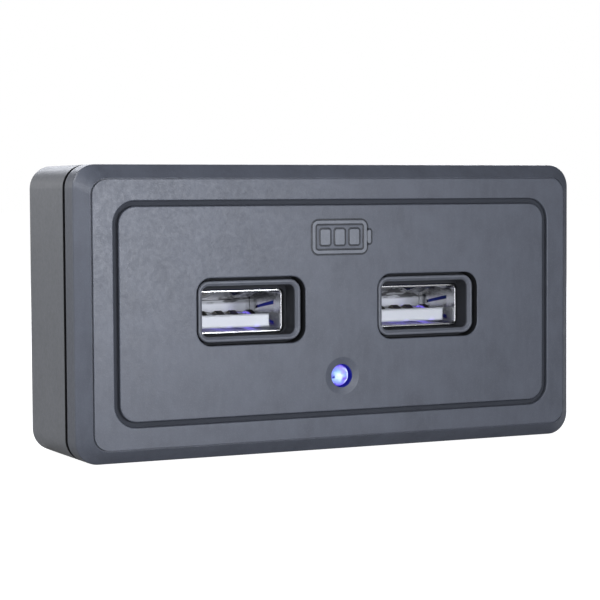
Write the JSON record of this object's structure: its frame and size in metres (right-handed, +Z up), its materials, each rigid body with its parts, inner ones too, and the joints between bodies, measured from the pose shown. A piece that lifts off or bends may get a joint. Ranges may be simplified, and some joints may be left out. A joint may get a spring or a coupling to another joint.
{
  "type": "dual usb socket",
  "caption": "Surface-mounted USB charging socket: bevelled front cover with port windows and blue status lamp, on a shallow screw-fixed housing.",
  "frame": {"origin": "middle of the two wall screw holes, on the back plane", "axes": "+X along the box, +Y out of the back into the wall, +Z up; the sockets face -Y"},
  "size_m": [0.0738, 0.0192, 0.038],
  "materials": {
    "cover_plastic": "fine matt mould texture, dark slate grey",
    "housing_plastic": "fine matt mould texture, dark grey",
    "carrier_plastic": "matt, dark slate grey",
    "plated_steel": "bright nickel plate",
    "white_insulator": "satin white",
    "gold_contact": "gold flash",
    "board_laminate": "green solder mask",
    "zinc_screw": "zinc plate",
    "black_rubber": "matt rubber",
    "blue_lamp": "clear blue, lit",
    "tinned_lead": "tinned",
    "black_spacer": "matt",
    "ferrite": "sintered",
    "copper_wire": "lacquered copper",
    "can_sleeve": "shrink sleeve",
    "chip_plastic": "moulded epoxy",
    "fuse_ceramic": "ceramic",
    "resistor_ceramic": "ceramic with tinned ends",
    "capacitor_ceramic": "ceramic with tinned ends",
    "terminal_plastic": "green polyamide",
    "brass_clamp": "nickel flash on brass"
  },
  "bodies": {
    "root": {"front_cover": "cover_plastic", "rear_housing": "housing_plastic", "port_carrier": "carrier_plastic", "usb_shell_left": "plated_steel", "usb_shell_right": "plated_steel", "usb_insulator_left": "white_insulator", "usb_insulator_right": "white_insulator", "usb_contacts_left": "gold_contact", "usb_contacts_right": "gold_contact", "circuit_board": "board_laminate", "board_screws": "zinc_screw", "cable_grommet": "black_rubber", "status_led": "blue_lamp", "led_leads": "tinned_lead", "led_spacer": "black_spacer", "coil_core": "ferrite", "coil_winding": "copper_wire", "input_capacitor": "can_sleeve", "output_capacitors": "can_sleeve", "converter_chip": "chip_plastic", "charge_control_chip": "chip_plastic", "protection_diode": "chip_plastic", "input_fuse": "fuse_ceramic", "chip_resistors": "resistor_ceramic", "chip_capacitors": "capacitor_ceramic", "terminal_block": "terminal_plastic", "terminal_clamps": "brass_clamp", "terminal_screws": "zinc_screw"}
  },
  "joints": []
}
